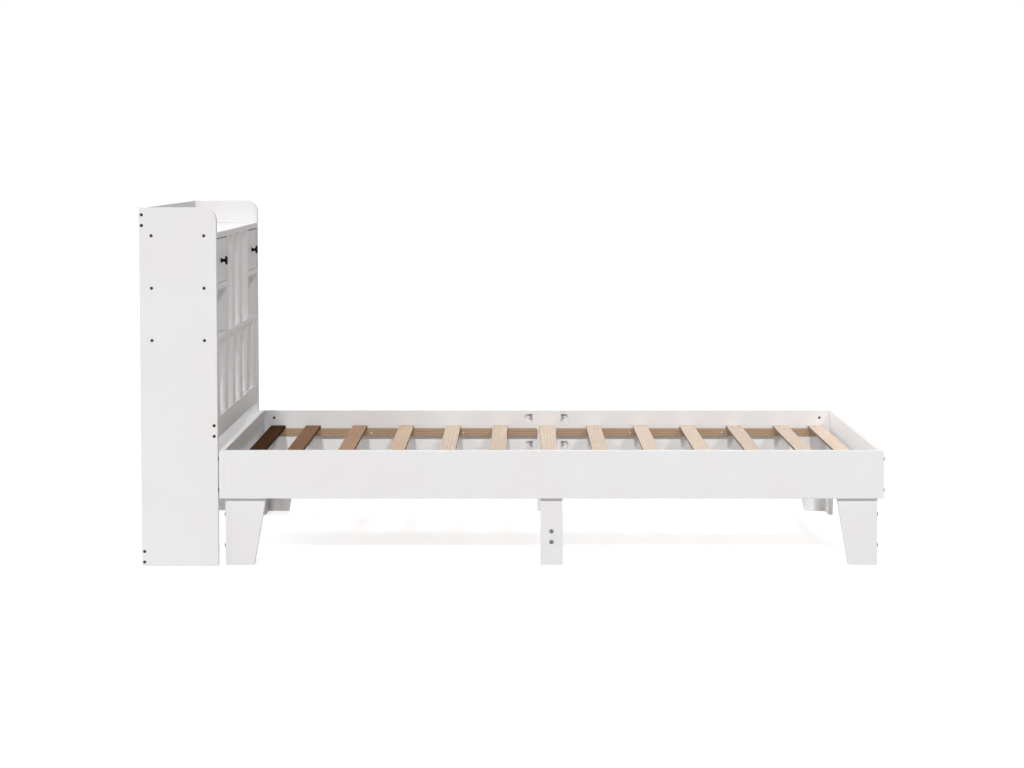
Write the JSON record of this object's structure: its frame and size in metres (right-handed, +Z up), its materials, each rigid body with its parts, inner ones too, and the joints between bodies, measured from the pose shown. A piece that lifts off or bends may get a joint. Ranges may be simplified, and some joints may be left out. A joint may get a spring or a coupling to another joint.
{
  "type": "bed frame",
  "caption": "Single slatted bed frame of white painted pine on tapered board legs, with a free-standing bookcase headboard that has shelves, slats and small drawers.",
  "frame": {"origin": "on the floor, under the middle of the whole object", "axes": "+X from the headboard to the foot, +Y to the right as seen from the foot, +Z up"},
  "size_m": [2.279, 0.935, 1.1],
  "materials": {
    "white_paint": "satin white paint on pine",
    "pine_slat": "bare planed pine",
    "pine_ledger": "bare sawn pine",
    "drawer_pine": "bare planed pine",
    "black_knob": "satin black",
    "zinc_steel": "zinc plated",
    "dark_steel": "dark zinc plated"
  },
  "bodies": {
    "bed": {"head_end_rail": "white_paint", "foot_end_rail": "white_paint", "headboard_side_left": "white_paint", "headboard_divider_left": "white_paint", "drawer_shelf_left": "white_paint", "mid_leg_face_left": "white_paint", "mid_leg_web_left": "white_paint", "side_rail_left_head": "white_paint", "slat_ledger_left_head": "pine_ledger", "leg_side_board_left_head": "white_paint", "leg_end_board_left_head": "white_paint", "side_rail_left_foot": "white_paint", "slat_ledger_left_foot": "pine_ledger", "leg_side_board_left_foot": "white_paint", "leg_end_board_left_foot": "white_paint", "headboard_side_right": "white_paint", "headboard_divider_right": "white_paint", "drawer_shelf_right": "white_paint", "mid_leg_face_right": "white_paint", "mid_leg_web_right": "white_paint", "side_rail_right_head": "white_paint", "slat_ledger_right_head": "pine_ledger", "leg_side_board_right_head": "white_paint", "leg_end_board_right_head": "white_paint", "side_rail_right_foot": "white_paint", "slat_ledger_right_foot": "pine_ledger", "leg_side_board_right_foot": "white_paint", "leg_end_board_right_foot": "white_paint", "headboard_top_shelf": "white_paint", "headboard_lower_shelf": "white_paint", "headboard_top_lip": "white_paint", "headboard_back_rail": "white_paint", "headboard_front_rail": "white_paint", "headboard_lower_slats": "white_paint", "headboard_upper_slats": "white_paint", "drawer_stops": "white_paint", "bed_slats": "pine_slat", "wood_dowels": "drawer_pine", "headboard_screws": "dark_steel", "corner_bolts": "zinc_steel", "cross_dowel_nuts": "zinc_steel", "leg_bolts": "zinc_steel", "ledger_screws": "zinc_steel", "rail_joint_rods": "zinc_steel", "rail_joint_washers": "zinc_steel", "rail_joint_nuts": "zinc_steel"},
    "drawer_left": {"drawer_left_front": "white_paint", "drawer_left_inner_side": "drawer_pine", "drawer_left_outer_side": "drawer_pine", "drawer_left_back": "drawer_pine", "drawer_left_bottom": "drawer_pine", "drawer_left_knob": "black_knob", "drawer_left_knob_screw": "zinc_steel"},
    "drawer_right": {"drawer_right_front": "white_paint", "drawer_right_inner_side": "drawer_pine", "drawer_right_outer_side": "drawer_pine", "drawer_right_back": "drawer_pine", "drawer_right_bottom": "drawer_pine", "drawer_right_knob": "black_knob", "drawer_right_knob_screw": "zinc_steel"}
  },
  "joints": [
    {"name": "drawer_left_slide", "type": "slide", "parent": "bed", "child": "drawer_left", "axis": [1, 0, 0], "range_m": [0, 0.15]},
    {"name": "drawer_right_slide", "type": "slide", "parent": "bed", "child": "drawer_right", "axis": [1, 0, 0], "range_m": [0, 0.15]}
  ]
}
